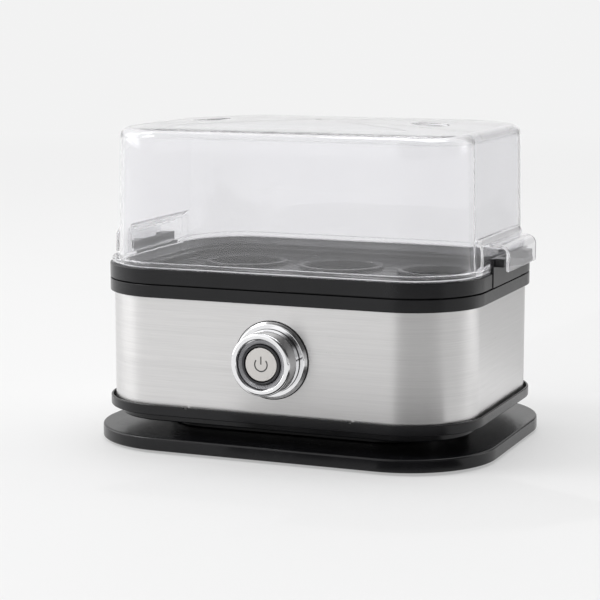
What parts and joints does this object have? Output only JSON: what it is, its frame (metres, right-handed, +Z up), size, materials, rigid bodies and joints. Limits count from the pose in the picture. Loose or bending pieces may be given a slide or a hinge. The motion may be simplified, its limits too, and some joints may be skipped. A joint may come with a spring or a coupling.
{
  "type": "egg cooker",
  "caption": "Electric egg cooker: steel-clad body on a wide base plate, round push button in front, lift-out egg tray and clear lid.",
  "frame": {"origin": "under the middle of the whole object's box, on the surface that the feet stand on", "axes": "+X to the right along the length, +Y to the back, so the button faces -Y, +Z up"},
  "size_m": [0.1818, 0.1418, 0.1382],
  "materials": {
    "black_plastic": "satin moulded",
    "rubber": "matte",
    "brushed_steel": "brushed along its length",
    "bare_steel": "plain rolled",
    "chrome": "polished",
    "satin_cap": "satin",
    "light_ring": "translucent",
    "dark_plastic": "smooth",
    "silicone": "matte",
    "ceramic": "unglazed",
    "zinc_plate": "zinc plated",
    "circuit_board": "solder mask",
    "clear_plastic": "clear polished"
  },
  "bodies": {
    "base": {"base_plate": "black_plastic", "pedestal": "black_plastic", "lower_housing": "black_plastic", "collar": "black_plastic", "cord_inlet": "black_plastic", "foot_1": "rubber", "base_screw_1": "bare_steel", "housing_screw_1": "bare_steel", "foot_2": "rubber", "base_screw_2": "bare_steel", "housing_screw_2": "bare_steel", "foot_3": "rubber", "base_screw_3": "bare_steel", "housing_screw_3": "bare_steel", "foot_4": "rubber", "base_screw_4": "bare_steel", "housing_screw_4": "bare_steel", "clamp_screw_1": "bare_steel", "clamp_screw_2": "bare_steel", "heating_plate": "bare_steel", "heating_element": "bare_steel", "thermostat": "bare_steel", "button_nut": "bare_steel", "return_spring": "bare_steel", "steel_band": "brushed_steel", "plate_seal": "silicone", "lead_left": "silicone", "lead_right": "silicone", "lead_switch": "silicone", "clamp_bar": "zinc_plate", "board_bracket": "zinc_plate", "thermal_fuse": "ceramic", "terminal_block": "ceramic", "button_escutcheon": "chrome", "button_barrel": "chrome", "light_ring": "light_ring", "button_sleeve": "dark_plastic", "switch_body": "dark_plastic", "control_board": "circuit_board"},
    "button": {"button_cap": "satin_cap"},
    "tray": {"egg_tray": "black_plastic"},
    "lid": {"lid": "clear_plastic"}
  },
  "joints": [
    {"name": "button_press", "type": "slide", "parent": "base", "child": "button", "axis": [0, 1, 0], "range_m": [0, 0.0016], "stiffness_N_per_m": 400, "springref_m": -0.002, "deforming": ["return_spring"]},
    {"name": "tray_lift", "type": "slide", "parent": "base", "child": "tray", "axis": [0, 0, 1], "range_m": [0, 0.04]},
    {"name": "lid_lift", "type": "slide", "parent": "tray", "child": "lid", "axis": [0, 0, 1], "range_m": [0, 0.08]}
  ]
}
